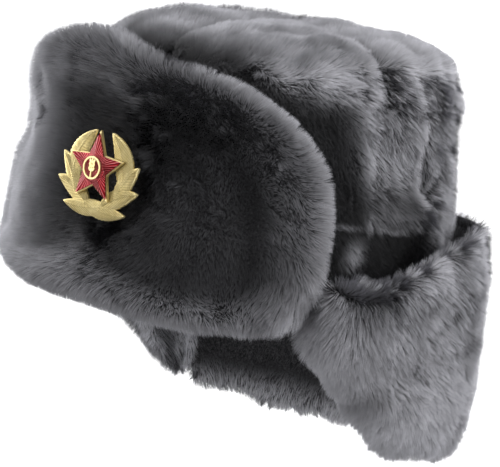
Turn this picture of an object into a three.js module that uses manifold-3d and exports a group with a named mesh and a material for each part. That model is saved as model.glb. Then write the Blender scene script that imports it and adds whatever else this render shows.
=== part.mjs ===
// A fur winter hat with its ear flaps let down and a cap badge on its front flap.
// Millimetres, +Z up. The wearer looks along -Y and the wearer's left is +X.
// The origin is the middle of the head opening, in the plane of the crown's lower edge.
// Angles go round the hat in degrees: 0 at the front, 90 at the wearer's left, 180 at the back.
import * as THREE from "three";
import { mergeVertices } from "three/addons/utils/BufferGeometryUtils.js";
import Module from "manifold-3d";

const wasm = await Module();
wasm.setup();

const { degToRad, radToDeg, lerp, smoothstep, clamp } = THREE.MathUtils;

// Driving sizes
const gap = 0.3;
const squareness = 2.3;
const hollow = { halfLength: 97, halfWidth: 81 };
const crownWall = { front: 12, side: 16 };
const skirtEase = 1.3;
const lockDepth = 2.2;
const lockLean = 0.35;
const skirtSeamAngle = 128;
const flap = {
  halfAngle: 59,
  middleHeight: 26,
  drop: 52,
  left: { rise: 80, topSquareness: 2.6, lowerSquareness: 4.4 },
  right: { rise: 88, topSquareness: 2, lowerSquareness: 2.7 },
  peak: { from: -0.02, to: 0.22 },
  rollHalfThickness: 11,
  faceSink: 5,
  faceSlope: 16,
  columns: 48,
};
const badge = {
  angle: 2.5,
  height: 43,
  seatDepth: 2.2,
  seatRadius: 27.5,
  seatCut: 20,
  wreathThickness: 1.3,
  starRadius: 18.2,
  starWaist: 0.46,
  starRaise: 1.3,
  starLift: 2.6,
  starThickness: 1.4,
  postRadius: 1.2,
  postCut: 80,
  postEndInside: 1,
};

// Crown, from its lower edge to the middle of the top
const crownOutside = [
  { height: 0, halfLength: 111, halfWidth: 97, back: 2, frontDrop: 0 },
  { height: 22, halfLength: 111, halfWidth: 97, back: 2, frontDrop: 0 },
  { height: 42, halfLength: 110.5, halfWidth: 97, back: 2, frontDrop: 0 },
  { height: 62, halfLength: 110, halfWidth: 97, back: 2.5, frontDrop: 2 },
  { height: 80, halfLength: 109, halfWidth: 96, back: 3, frontDrop: 4 },
  { height: 96, halfLength: 107, halfWidth: 94, back: 3.5, frontDrop: 6 },
  { height: 109, halfLength: 102, halfWidth: 89, back: 4, frontDrop: 8 },
  { height: 119, halfLength: 93, halfWidth: 81, back: 5, frontDrop: 9 },
  { height: 126, halfLength: 80, halfWidth: 69, back: 6, frontDrop: 9 },
  { height: 130, halfLength: 61, halfWidth: 53, back: 5, frontDrop: 7 },
  { height: 132.5, halfLength: 34, halfWidth: 29, back: 3, frontDrop: 4 },
  { height: 133.5, halfLength: 0, halfWidth: 0, back: 0, frontDrop: 0 },
];
const crownInside = [
  { height: 0, halfLength: 97, halfWidth: 81, back: 0, frontDrop: 0 },
  { height: 22, halfLength: 97, halfWidth: 81, back: 0, frontDrop: 0 },
  { height: 42, halfLength: 97, halfWidth: 81, back: 0, frontDrop: 0 },
  { height: 60, halfLength: 97, halfWidth: 81, back: 0.5, frontDrop: 2 },
  { height: 76, halfLength: 96, halfWidth: 80, back: 1, frontDrop: 4 },
  { height: 90, halfLength: 93, halfWidth: 77, back: 2, frontDrop: 6 },
  { height: 101, halfLength: 86, halfWidth: 71, back: 3, frontDrop: 8 },
  { height: 109, halfLength: 75, halfWidth: 62, back: 4, frontDrop: 9 },
  { height: 114, halfLength: 62, halfWidth: 51, back: 4, frontDrop: 9 },
  { height: 117, halfLength: 44, halfWidth: 37, back: 4, frontDrop: 7 },
  { height: 118.5, halfLength: 23, halfWidth: 18, back: 2, frontDrop: 4 },
  { height: 119, halfLength: 0, halfWidth: 0, back: 0, frontDrop: 0 },
];
const sideSeamAngle = 76;
const crownColumnAngle = 6.4;
const crownBareRows = 2;
const crownCoreHeight = 62;
const crownPanels = [
  { name: "crown_front_left", from: 0, to: sideSeamAngle },
  { name: "crown_back_left", from: sideSeamAngle, to: 180 },
  { name: "crown_front_right", from: 0, to: -sideSeamAngle },
  { name: "crown_back_right", from: -sideSeamAngle, to: -180 },
];
const crownSeam = { depth: 4, halfWidth: 7 };

// Standing folds in the crown's wall: an angle, a half width in degrees, two heights and a depth.
// Each fades out over a length at both ends.
const foldFade = 14;
const crownFolds = [
  { angle: 103, halfWidth: 3.5, low: 48, high: 124, depth: 7 },
  { angle: 116, halfWidth: 4, low: 44, high: 112, depth: 4 },
  { angle: 128, halfWidth: 4, low: 44, high: 108, depth: 4 },
  { angle: -103, halfWidth: 3.5, low: 48, high: 124, depth: 6 },
  { angle: -118, halfWidth: 4, low: 44, high: 110, depth: 4 },
];

// How far the middle of the front flap stands off the crown, by angle and by height
const flapFlare = [
  { angle: 0, off: 0 },
  { angle: 30, off: 2 },
  { angle: 45, off: 5 },
  { angle: 60, off: 9 },
];
const flapLean = [
  { height: -26, off: -5 },
  { height: -14, off: 0.5 },
  { height: 5, off: 2 },
  { height: 25, off: 1.5 },
  { height: 50, off: 0 },
  { height: 120, off: -1 },
];

// Soft dents in the front flap's face: a place, half its size each way and a depth
const flapDents = [
  { angle: -29, height: 86, halfAngle: 4.5, halfHeight: 20, depth: 5 },
  { angle: 34, height: 2, halfAngle: 5, halfHeight: 9, depth: 3 },
  { angle: 22, height: 78, halfAngle: 8, halfHeight: 9, depth: 2 },
];

// Lower edge of the crown, which comes down to the brow behind the front flap
const crownHem = [
  { angle: 0, height: -12 },
  { angle: 44, height: -12 },
  { angle: 56, height: 0 },
  { angle: 180, height: 0 },
];

// Section of the ear and neck flaps: a level from -1 at the bottom to 1 at the top of the roll,
// and how far the two faces stand out from the head hollow
const skirtSection = [
  { level: -1, inner: 22, outer: 22 },
  { level: -0.975, inner: 13, outer: 31 },
  { level: -0.9, inner: 7, outer: 37 },
  { level: -0.74, inner: 3, outer: 40.5 },
  { level: -0.5, inner: 1, outer: 42 },
  { level: -0.22, inner: 0, outer: 43 },
  { level: 0, inner: 0, outer: 44 },
  { level: 0, inner: crownWall.side + skirtEase, outer: 44 },
  { level: 0.45, inner: crownWall.side + skirtEase, outer: 44 },
  { level: 0.78, inner: 21, outer: 42 },
  { level: 0.94, inner: 26, outer: 38 },
  { level: 1, inner: 32, outer: 32 },
];

// Front edge of each ear flap, by height. The wearer's right flap hangs a little further back.
const earEdgeLeft = [
  { height: -95, angle: 110 },
  { height: -86, angle: 100 },
  { height: -73, angle: 90 },
  { height: -57, angle: 77.5 },
  { height: -50, angle: 72.5 },
  { height: -39, angle: 66.5 },
  { height: -22, angle: 61 },
  { height: -8, angle: 60.5 },
  { height: 30, angle: 60.5 },
];
const earEdgeRight = [
  { height: -95, angle: 122 },
  { height: -86, angle: 115 },
  { height: -73, angle: 106 },
  { height: -57, angle: 96 },
  { height: -50, angle: 90 },
  { height: -39, angle: 79 },
  { height: -22, angle: 64 },
  { height: -8, angle: 60.5 },
  { height: 30, angle: 60.5 },
];

// Top, bottom and outward lean of each ear flap, from its front edge (share 0) to the neck seam
const earReachLeft = [
  { share: 0, top: 12, bottom: -85, flare: -7 },
  { share: 0.2, top: 12, bottom: -88, flare: -4 },
  { share: 0.38, top: 20, bottom: -90, flare: 0 },
  { share: 0.58, top: 30, bottom: -91, flare: 4 },
  { share: 0.73, top: 37, bottom: -92, flare: 6 },
  { share: 1, top: 41, bottom: -95, flare: 7 },
];
const earReachRight = [
  { share: 0, top: 12, bottom: -90, flare: -16 },
  { share: 0.2, top: 12, bottom: -95, flare: -11 },
  { share: 0.38, top: 20, bottom: -97, flare: -5 },
  { share: 0.58, top: 30, bottom: -98, flare: 1 },
  { share: 0.73, top: 37, bottom: -98, flare: 4 },
  { share: 1, top: 41, bottom: -99, flare: 7 },
];
const neckReach = [
  { share: 0, top: 41, bottom: -95, flare: 7 },
  { share: 0.2, top: 40, bottom: -104, flare: 6 },
  { share: 0.5, top: 38, bottom: -109, flare: 5 },
  { share: 0.8, top: 40, bottom: -108, flare: 6 },
  { share: 1, top: 41, bottom: -99, flare: 7 },
];
const skirtSeam = { depth: 3.5, halfWidth: 7, fullThickness: 24 };
const edgeRoll = 20;
const edgeCrowding = 0.45;
const earColumns = 18;
const neckColumns = 20;

// Leaves of the wreath on the wearer's left: root and tip on the badge, half width and bow
const wreathLeaves = [
  { rootX: 16.4, rootY: -7.4, tipX: 4.8, tipY: 19.4, halfWidth: 5.9, bow: -4 },
  { rootX: 12.4, rootY: -14, tipX: 25, tipY: 5.9, halfWidth: 4.6, bow: 1.4 },
  { rootX: 3.6, rootY: -17.6, tipX: 26.4, tipY: -6.6, halfWidth: 4.8, bow: 1.2 },
  { rootX: -8, rootY: -16.2, tipX: 20.6, tipY: -18.4, halfWidth: 4.3, bow: -1.6 },
];

// Materials
const furLook = { color: 0x6f7078, roughness: 0.95, metalness: 0 };
const goldLook = { color: 0xd9c27a, roughness: 0.35, metalness: 1 };
const enamelLook = { color: 0xa01424, roughness: 0.2, metalness: 0 };

// A smooth curve through one column of a table whose rows are ordered by another column
function curveThrough(rows, by, column) {
  const slopeBetween = (a, b) => (b[column] - a[column]) / (b[by] - a[by]);
  return (at) => {
    const last = rows.length - 1;
    const place = clamp(at, rows[0][by], rows[last][by]);
    let step = 0;
    while (step < last - 1 && place > rows[step + 1][by]) step += 1;
    const low = rows[step];
    const high = rows[step + 1];
    const slopeLow = slopeBetween(rows[Math.max(step - 1, 0)], high);
    const slopeHigh = slopeBetween(low, rows[Math.min(step + 2, last)]);
    const span = high[by] - low[by];
    const t = (place - low[by]) / span;
    const hermite = {
      low: (1 + 2 * t) * (1 - t) ** 2,
      high: t * t * (3 - 2 * t),
      slopeLow: t * (1 - t) ** 2 * span,
      slopeHigh: t * t * (t - 1) * span,
    };
    return low[column] * hermite.low + high[column] * hermite.high
      + slopeLow * hermite.slopeLow + slopeHigh * hermite.slopeHigh;
  };
}

// A point at one angle of the hat's rounded plan
function outlinePoint(angle, halfLength, halfWidth, height) {
  const across = Math.sin(degToRad(angle));
  const along = Math.cos(degToRad(angle));
  const crossways = (Math.abs(across) / halfWidth) ** squareness;
  const lengthways = (Math.abs(along) / halfLength) ** squareness;
  const reach = halfLength > 0 ? (crossways + lengthways) ** (-1 / squareness) : 0;
  return new THREE.Vector3(reach * across, -reach * along, height);
}

// A point that stands out by an offset from the wall of the head hollow
function offsetPoint(angle, offset, height) {
  return outlinePoint(angle, hollow.halfLength + offset, hollow.halfWidth + offset, height);
}

// One closed body from points and triangles: equal points are merged and empty triangles dropped
function closedGeometry(points, triangles) {
  const raw = new THREE.BufferGeometry();
  const numbers = points.flatMap((point) => point.toArray());
  raw.setAttribute("position", new THREE.Float32BufferAttribute(numbers, 3));
  raw.setIndex(triangles);
  const merged = mergeVertices(raw, 1e-3);
  const kept = [];
  const index = merged.getIndex();
  for (let corner = 0; corner < index.count; corner += 3) {
    const [a, b, c] = [index.getX(corner), index.getX(corner + 1), index.getX(corner + 2)];
    if (a !== b && b !== c && c !== a) kept.push(a, b, c);
  }
  merged.setIndex(volumeOf(merged, kept) < 0 ? kept.reverse() : kept);
  return merged;
}

function volumeOf(geometry, index) {
  const position = geometry.getAttribute("position");
  const corner = (at) => new THREE.Vector3().fromBufferAttribute(position, index[at]);
  let volume = 0;
  for (let at = 0; at < index.length; at += 3) {
    volume += corner(at).dot(corner(at + 1).cross(corner(at + 2))) / 6;
  }
  return volume;
}

// One row of a table at a whole or part row number
function rowAt(table, number) {
  const low = table[Math.floor(number)];
  const high = table[Math.ceil(number)];
  const share = number - Math.floor(number);
  const columns = Object.keys(low);
  return Object.fromEntries(columns.map((column) => [column, lerp(low[column], high[column], share)]));
}

// Locks of fur stand on every second corner of an outer face, and the corners between them lie deeper
function isLock(column, row) {
  return (column + row) % 2 === 0;
}

// A padded wall between an outer and an inner face on the same grid of columns and rows.
// The outer face's diagonals join the corners between the locks.
// A ring closes on itself, so it has no side walls.
function wallBody({ columns, rows, outer, inner, ring = false }) {
  const points = [];
  const triangles = [];
  const sheet = (pointAt) => {
    const start = points.length;
    for (let column = 0; column <= columns; column += 1) {
      for (let row = 0; row <= rows; row += 1) points.push(pointAt(column, row));
    }
    return (column, row) => start + column * (rows + 1) + row;
  };
  const out = sheet(outer);
  const back = sheet(inner);
  const quad = (a, b, c, d) => triangles.push(a, b, c, a, c, d);
  const quadAcross = (a, b, c, d) => triangles.push(a, b, d, b, c, d);
  for (let column = 0; column < columns; column += 1) {
    for (let row = 0; row < rows; row += 1) {
      const split = isLock(column, row) ? quadAcross : quad;
      split(out(column, row), out(column + 1, row), out(column + 1, row + 1), out(column, row + 1));
      quad(back(column, row), back(column, row + 1), back(column + 1, row + 1), back(column + 1, row));
    }
    quad(out(column, 0), back(column, 0), back(column + 1, 0), out(column + 1, 0));
    quad(out(column, rows), out(column + 1, rows), back(column + 1, rows), back(column, rows));
  }
  for (let row = 0; row < rows && !ring; row += 1) {
    quad(out(0, row), out(0, row + 1), back(0, row + 1), back(0, row));
    quad(out(columns, row), back(columns, row), back(columns, row + 1), out(columns, row + 1));
  }
  return closedGeometry(points, triangles);
}

// Manifold solids, which are only joined and cut here
function toSolid(geometry) {
  const bare = geometry.clone();
  bare.deleteAttribute("normal");
  bare.deleteAttribute("uv");
  const merged = mergeVertices(bare, 1e-4);
  const mesh = new wasm.Mesh({
    numProp: 3,
    vertProperties: new Float32Array(merged.getAttribute("position").array),
    triVerts: new Uint32Array(merged.getIndex().array),
  });
  return new wasm.Manifold(mesh);
}

function toGeometry(solid) {
  const mesh = solid.getMesh();
  const geometry = new THREE.BufferGeometry();
  geometry.setAttribute("position", new THREE.Float32BufferAttribute(mesh.vertProperties, 3));
  geometry.setIndex(new THREE.Uint32BufferAttribute(mesh.triVerts, 1));
  return geometry;
}

// How deep the folds press the crown's wall in at one place
function foldDepth(folds, angle, height) {
  return folds.reduce((total, fold) => {
    const beside = (angle - fold.angle) / fold.halfWidth;
    const above = smoothstep(height, fold.low, fold.low + foldFade);
    const below = 1 - smoothstep(height, fold.high - foldFade, fold.high);
    return total + fold.depth * Math.exp(-beside * beside) * above * below;
  }, 0);
}

// One quarter of the crown. The whole panel moves out along its middle line to open its seams by half a gap.
function crownPanel({ from, to }) {
  const columns = Math.round(Math.abs(to - from) / crownColumnAngle);
  const rows = crownOutside.length - 1;
  const hemHeight = curveThrough(crownHem, "angle", "height");
  const angleAt = (column) => lerp(from, to, column / columns);
  const place = (table, column, row) => {
    const { halfLength, halfWidth, height, back, frontDrop } = rowAt(table, row);
    const angle = angleAt(column);
    const level = row === 0 ? hemHeight(Math.abs(angle)) : height;
    const point = outlinePoint(angle, halfLength, halfWidth, level);
    const forward = Math.max(Math.cos(degToRad(angle)), 0);
    return point.add(new THREE.Vector3(0, back, -frontDrop * forward));
  };
  const outer = (column, row) => {
    const bare = row <= crownBareRows;
    const lock = isLock(column, row);
    const point = place(crownOutside, column, lock && !bare && row < rows ? row - lockLean : row);
    const angle = angleAt(column);
    const seamAngle = Math.min(Math.abs(angle - from), Math.abs(angle - to));
    const fromSeam = degToRad(seamAngle) * Math.hypot(point.x, point.y);
    const seam = bare ? 0 : crownSeam.depth * Math.exp(-((fromSeam / crownSeam.halfWidth) ** 2));
    const between = bare || lock ? 0 : lockDepth;
    const depth = seam + between + foldDepth(crownFolds, angle, point.z);
    const core = new THREE.Vector3(0, 0, Math.min(point.z, crownCoreHeight));
    return point.addScaledVector(core.sub(point).normalize(), depth);
  };
  const inner = (column, row) => place(crownInside, column, row);
  const middle = degToRad((from + to) / 2);
  const opening = gap / 2 / Math.sin(degToRad(Math.abs(to - from) / 2));
  const panel = wallBody({ columns, rows, outer, inner });
  return panel.translate(opening * Math.sin(middle), -opening * Math.cos(middle), 0);
}

// Half of a seam's gap as an angle
const skirtSeamShift = radToDeg(gap / 2 / hollow.halfWidth);

// The seams press in less where the section is thin
function seamRoom(section) {
  return Math.min((section.outer - section.inner) / skirtSeam.fullThickness, 1);
}

// A length of the skirt between two edges, each a function from height to angle
function skirtPanel({ columns, startEdge, endEdge, reach, rolledStart, mirror }) {
  const rows = skirtSection.length - 1;
  const topAt = curveThrough(reach, "share", "top");
  const bottomAt = curveThrough(reach, "share", "bottom");
  const flareAt = curveThrough(reach, "share", "flare");
  const shareAt = (column) => {
    const even = column / columns;
    return rolledStart ? lerp(even * even, even, edgeCrowding) : even;
  };
  const pointOn = (face) => (column, row) => {
    const share = shareAt(column);
    const onOuter = face === "outer" && row > 0 && row < rows;
    const lock = onOuter && isLock(column, row);
    const section = rowAt(skirtSection, lock ? row - lockLean : row);
    const height = section.level > 0
      ? lerp(-gap, topAt(share), section.level)
      : lerp(-gap, bottomAt(share), -section.level);
    const start = startEdge(height);
    const end = endEdge(height);
    const fromStart = degToRad(end - start) * share * hollow.halfWidth;
    const inRoll = rolledStart ? 1 - Math.min(fromStart / edgeRoll, 1) : 0;
    const fullness = Math.sqrt(1 - inRoll * inRoll);
    const middle = (section.inner + section.outer) / 2;
    const between = onOuter && !lock ? lockDepth : 0;
    const flare = flareAt(share) * Math.max(-section.level, 0);
    const fromEnd = degToRad(end - start) * (1 - share) * hollow.halfWidth;
    const fromSeam = rolledStart ? fromEnd : Math.min(fromEnd, fromStart);
    const seam = face === "outer" ? skirtSeam.depth * Math.exp(-((fromSeam / skirtSeam.halfWidth) ** 2)) : 0;
    const press = between * fullness + seam * seamRoom(section);
    const offset = lerp(middle, section[face], fullness) + flare - press;
    return offsetPoint(mirror * lerp(start, end, share), offset, height);
  };
  return wallBody({ columns, rows, outer: pointOn("outer"), inner: pointOn("inner") });
}

function earFlap(edgeRows, reachRows, mirror) {
  return skirtPanel({
    columns: earColumns,
    startEdge: curveThrough(edgeRows, "height", "angle"),
    endEdge: () => skirtSeamAngle - skirtSeamShift,
    reach: reachRows,
    rolledStart: true,
    mirror,
  });
}

function neckFlap() {
  return skirtPanel({
    columns: neckColumns,
    startEdge: () => skirtSeamAngle + skirtSeamShift,
    endEdge: () => 360 - skirtSeamAngle - skirtSeamShift,
    reach: neckReach,
    rolledStart: false,
    mirror: 1,
  });
}

// The front flap's arched border at one turn round its middle: an angle and a height.
// It peaks a little on the wearer's right and runs lower and flatter on the left.
function flapBorder(turn) {
  const across = Math.cos(turn);
  const up = Math.sin(turn);
  const leftShare = smoothstep(across, flap.peak.from, flap.peak.to);
  const blend = (size) => lerp(flap.right[size], flap.left[size], leftShare);
  const lower = across > 0 ? flap.left.lowerSquareness : flap.right.lowerSquareness;
  const power = up > 0 ? blend("topSquareness") : lower;
  const reach = (Math.abs(across) ** power + Math.abs(up) ** power) ** (-1 / power);
  const furthest = up > 0 ? blend("rise") : flap.drop;
  return { angle: flap.halfAngle * reach * across, rise: furthest * reach * up };
}

function dentDepth(angle, height) {
  return flapDents.reduce((total, dent) => {
    const aside = (angle - dent.angle) / dent.halfAngle;
    const above = (height - dent.height) / dent.halfHeight;
    return total + dent.depth * Math.exp(-aside * aside - above * above);
  }, 0);
}

// The front flap as a pillow of rings from its middle to its border
const flapRings = [0, 0.3, 0.5, 0.66, 0.78, 0.86, 0.92, 0.965, 0.99, 1];
function frontFlapBody() {
  const middleOffset = crownWall.front + gap + flap.rollHalfThickness;
  const flare = curveThrough(flapFlare, "angle", "off");
  const lean = curveThrough(flapLean, "height", "off");
  const rows = flapRings.length - 1;
  const pointOn = (face) => (column, row) => {
    const border = flapBorder((2 * Math.PI * (column % flap.columns)) / flap.columns);
    const lock = face === "outer" && row > 0 && row < rows && isLock(column, row);
    const ring = lock ? lerp(flapRings[row], flapRings[row + 1], lockLean) : flapRings[row];
    const width = degToRad(border.angle) * (hollow.halfLength + middleOffset);
    const fromBorder = (1 - ring) * Math.hypot(width, border.rise);
    const height = flap.middleHeight + ring * border.rise;
    const inRoll = 1 - Math.min(fromBorder / flap.rollHalfThickness, 1);
    const half = flap.rollHalfThickness * Math.sqrt(1 - inRoll * inRoll);
    const slopeEnd = flap.rollHalfThickness + flap.faceSlope;
    const sink = flap.faceSink * smoothstep(fromBorder, flap.rollHalfThickness, slopeEnd);
    const angle = ring * border.angle;
    const stand = flare(Math.abs(angle)) + lean(height);
    const between = lock ? 0 : lockDepth * (1 - inRoll);
    const dent = dentDepth(angle, height) * (1 - inRoll);
    const offset = face === "outer" ? half - sink - between - dent : -half;
    return offsetPoint(angle, middleOffset + stand + offset, height);
  };
  const grid = { columns: flap.columns, rows, ring: true };
  return wallBody({ ...grid, outer: pointOn("outer"), inner: pointOn("inner") });
}

// The badge's own frame: its back lies on the seat in the front flap and its face looks forward
const faceOffset = crownWall.front + gap + 2 * flap.rollHalfThickness - flap.faceSink;
const badgeSeat = hollow.halfLength + faceOffset - badge.seatDepth;
function onBadge(object) {
  const turn = degToRad(badge.angle);
  const frame = new THREE.Group();
  frame.position.set(badgeSeat * Math.sin(turn), -badgeSeat * Math.cos(turn), badge.height);
  frame.rotation.set(Math.PI / 2, turn, 0);
  frame.add(object);
  return frame;
}

// The flap with the shallow seat that the badge presses into it, and the pin's hole
function frontFlap() {
  const place = (geometry) => {
    const mesh = new THREE.Mesh(geometry.rotateX(Math.PI / 2));
    onBadge(mesh).updateMatrixWorld(true);
    return toSolid(geometry.applyMatrix4(mesh.matrixWorld));
  };
  const seat = new THREE.CylinderGeometry(badge.seatRadius, badge.seatRadius, badge.seatCut, 40);
  const hole = new THREE.CylinderGeometry(badge.postRadius + gap, badge.postRadius + gap, badge.postCut, 16);
  const seated = toSolid(frontFlapBody()).subtract(place(seat.translate(0, badge.seatCut / 2 - gap, 0)));
  return toGeometry(seated.subtract(place(hole)));
}

// One leaf of the wreath: a flat back, a sharp outline and a raised midrib
const leaf = { steps: 7, belly: 0.8, fullness: 0.75, edgeHeight: 0.8, ribHeight: 1.75 };
function leafGeometry({ rootX, rootY, tipX, tipY, halfWidth, bow }, mirror) {
  const root = new THREE.Vector2(rootX, rootY);
  const tip = new THREE.Vector2(tipX, tipY);
  const along = tip.clone().sub(root);
  const side = new THREE.Vector2(-along.y, along.x).normalize();
  const pointAt = (share, across, height) => {
    const wide = halfWidth * Math.sin(Math.PI * share ** leaf.belly) ** leaf.fullness;
    const flat = root.clone().addScaledVector(along, share);
    flat.addScaledVector(side, bow * 4 * share * (1 - share) + across * wide);
    return new THREE.Vector3(mirror * flat.x, flat.y, height);
  };
  const outer = (column, row) => {
    const height = row === 1 ? leaf.ribHeight : leaf.edgeHeight;
    return pointAt(column / leaf.steps, row - 1, height);
  };
  const inner = (column, row) => pointAt(column / leaf.steps, row - 1, 0);
  return wallBody({ columns: leaf.steps, rows: 2, outer, inner });
}

// The leaves overlap into one plate
function wreath() {
  const leaves = wreathLeaves.flatMap((row) => [1, -1].map((mirror) => toSolid(leafGeometry(row, mirror))));
  return toGeometry(wasm.Manifold.union(leaves));
}

// A five pointed star outline with its top point upright
function starCorner(number, radius) {
  const reach = number % 2 === 0 ? radius : radius * badge.starWaist;
  const turn = Math.PI / 2 + (number * Math.PI) / 5;
  return new THREE.Vector2(reach * Math.cos(turn), reach * Math.sin(turn));
}

function starPlate() {
  const corners = Array.from({ length: 10 }, (_, number) => starCorner(number, badge.starRadius));
  const shape = new THREE.Shape(corners);
  const plate = new THREE.ExtrudeGeometry(shape, { depth: badge.starThickness, bevelEnabled: false });
  return plate.translate(0, badge.starRaise, badge.starLift);
}

const enamel = { radius: badge.starRadius - 1.3, edge: 0.5, ridge: 1.5, plateau: 6.6, plateauShare: 0.8 };
const enamelBack = badge.starLift + badge.starThickness + gap;
const enamelTop = enamelBack + enamel.ridge;

// The enamel: ridges run from a small flat middle down to the five tips
function starEnamel() {
  const outer = (column, row) => {
    const corner = starCorner(column % 10, enamel.radius);
    const inside = Math.min(enamel.plateau / corner.length(), enamel.plateauShare);
    const share = [1, inside, 0][row];
    const height = row === 0 ? enamel.edge : enamel.ridge;
    return new THREE.Vector3(corner.x * share, badge.starRaise + corner.y * share, enamelBack + height);
  };
  const inner = (column, row) => outer(column, row).setZ(enamelBack);
  return wallBody({ columns: 10, rows: 2, outer, inner, ring: true });
}

// The raised device: a plain ring round an upright ear of grain
const device = { thickness: 0.7, ringRadius: 5.6, ringInside: 4.7, stemWidth: 0.7, stemLength: 9.8 };
const grain = { pairs: 3, radius: 0.75, stretch: 1.7, tilt: 0.5, aside: 1.1, lowest: -0.6, pitch: 1.9 };
function starDevice() {
  const ring = new THREE.Shape().absarc(0, 0, device.ringRadius, 0, 2 * Math.PI);
  ring.holes.push(new THREE.Path().absarc(0, 0, device.ringInside, 0, 2 * Math.PI));
  const cut = { depth: device.thickness, bevelEnabled: false, curveSegments: 24 };
  const band = new THREE.ExtrudeGeometry(ring, cut);
  const stem = new THREE.BoxGeometry(device.stemWidth, device.stemLength, device.thickness);
  let solid = toSolid(band).add(toSolid(stem.translate(0, 0, device.thickness / 2)));
  for (let pair = 0; pair < grain.pairs; pair += 1) {
    for (const mirror of [1, -1]) {
      const seed = new THREE.CylinderGeometry(grain.radius, grain.radius, device.thickness, 6);
      seed.rotateX(Math.PI / 2).scale(1, grain.stretch, 1).rotateZ(-mirror * grain.tilt);
      seed.translate(mirror * grain.aside, grain.lowest + pair * grain.pitch, device.thickness / 2);
      solid = solid.add(toSolid(seed));
    }
  }
  return toGeometry(solid).translate(0, badge.starRaise, enamelTop + gap);
}

// The hidden pin, from just behind the star through the front flap
function badgePost() {
  const front = badge.starLift - gap;
  const throughFlap = 2 * flap.rollHalfThickness - flap.faceSink - badge.seatDepth;
  const length = front + throughFlap - badge.postEndInside;
  const post = new THREE.CylinderGeometry(badge.postRadius, badge.postRadius, length, 12);
  post.rotateX(Math.PI / 2);
  return post.translate(0, 0, front - length / 2);
}

function namedMesh(name, geometry, look) {
  const mesh = new THREE.Mesh(geometry, new THREE.MeshStandardMaterial(look));
  mesh.name = name;
  return mesh;
}

const hat = new THREE.Group();
for (const panel of crownPanels) hat.add(namedMesh(panel.name, crownPanel(panel), furLook));
hat.add(namedMesh("front_flap", frontFlap(), furLook));
hat.add(namedMesh("ear_flap_left", earFlap(earEdgeLeft, earReachLeft, 1), furLook));
hat.add(namedMesh("ear_flap_right", earFlap(earEdgeRight, earReachRight, -1), furLook));
hat.add(namedMesh("neck_flap", neckFlap(), furLook));
hat.add(onBadge(namedMesh("badge_wreath", wreath(), goldLook)));
hat.add(onBadge(namedMesh("badge_star", starPlate(), goldLook)));
hat.add(onBadge(namedMesh("badge_enamel", starEnamel(), enamelLook)));
hat.add(onBadge(namedMesh("badge_device", starDevice(), goldLook)));
hat.add(onBadge(namedMesh("badge_post", badgePost(), goldLook)));

export default hat;
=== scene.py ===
"""A grey fur winter hat with its ear flaps let down and a star badge on its front flap.

The frame is in metres, +Z up. The wearer looks along -Y and the wearer's left is +X.
Fur is worked out in millimetres. Angles go round the hat in degrees: 0 in front, 90 at the wearer's left.
"""

import math

import bpy
import numpy as np
from mathutils import Matrix, Vector, kdtree


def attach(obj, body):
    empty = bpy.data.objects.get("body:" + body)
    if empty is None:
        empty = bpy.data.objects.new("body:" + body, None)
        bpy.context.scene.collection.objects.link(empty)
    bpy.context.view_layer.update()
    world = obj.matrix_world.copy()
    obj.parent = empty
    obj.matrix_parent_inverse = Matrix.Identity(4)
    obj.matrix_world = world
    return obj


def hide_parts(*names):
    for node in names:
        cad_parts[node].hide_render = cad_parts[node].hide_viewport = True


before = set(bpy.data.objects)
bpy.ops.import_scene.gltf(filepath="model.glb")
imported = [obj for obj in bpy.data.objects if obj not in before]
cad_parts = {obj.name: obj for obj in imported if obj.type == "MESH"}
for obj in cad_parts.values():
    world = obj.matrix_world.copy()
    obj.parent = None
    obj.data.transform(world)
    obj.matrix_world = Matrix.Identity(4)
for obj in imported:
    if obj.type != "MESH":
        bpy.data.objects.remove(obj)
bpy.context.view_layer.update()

MM = 0.001
UP = np.array([0.0, 0.0, 1.0])
BACK = np.array([0.0, 1.0, 0.0])
draws = np.random.default_rng(20)

# Camera, at the photograph's angle: degrees, metres, and millimetres for the lens
CAMERA = {
    "azimuth": 40,
    "elevation": 7.5,
    "roll": -9.5,
    "distance": 0.9,
    "target": (0, 0, 0.012),
    "lens": 119.9,
}

# Skins under the fur: mesh sizes, and rounds of smoothing, which draw the points together and apart again
VOXEL = 3.2
FINE_VOXEL = 2.5
SMOOTHINGS = 40
SMOOTHING_STEPS = (0.6, -0.62)
# Top of the upright line from which the crown's outward directions run
CROWN_CORE_HEIGHT = 62

# Hairs: width and root depth in millimetres, and tone, which is 1 at the material's own colour and also
# carries painted light and shade
HAIR_WIDTHS = (0.22, 0.42)
ROOT_SINK = 1.0
TONE_RANGE = (0.03, 1.5)
# Spread of single hairs: turn about their length in radians, lean in degrees, length and tone as shares
HAIR_SPREAD = {"twist": 0.2, "lean": 4, "length": 0.06, "tone": 0.05}
# How a hair's flat side and shading turn: out from the hat, away from its length, and to its sides
HAIR_ROUNDING = {"outlook": 0.5, "stand": 0.6, "sides": 0.2}
# Bundles of hair, the wide ones first: spacing, pull towards the middle hair, random turn, lean and tone
BUNDLES = [
    {"spacing": 7, "pull": 0.1, "turn": 0.15, "lean": 4, "tone": 0.03},
    {"spacing": 2.2, "pull": 0.22, "turn": 0.12, "lean": 4, "tone": 0.06},
]
# Share of a bundle's width that is left at its tips
BUNDLE_TIP_WIDTH = 0.35

# The badge: its angle, height and back's distance from the hat's axis, its star's rise and its enamel's rays
BADGE_ANGLE = 2.5
BADGE_HEIGHT = 43
BADGE_SEAT = 124.1
STAR_RAISE = 1.3
RAYS = 60


def unit(vectors):
    return vectors / np.maximum(np.linalg.norm(vectors, axis=-1, keepdims=True), 1e-9)


def dot(a, b):
    return np.einsum("ij,ij->i", a, b)


def smooth_between(low, high, value):
    """Rises smoothly from 0 at low to 1 at high. Low may be the larger one."""
    share = np.clip((value - low) / (high - low), 0, 1)
    return share * share * (3 - 2 * share)


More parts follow.
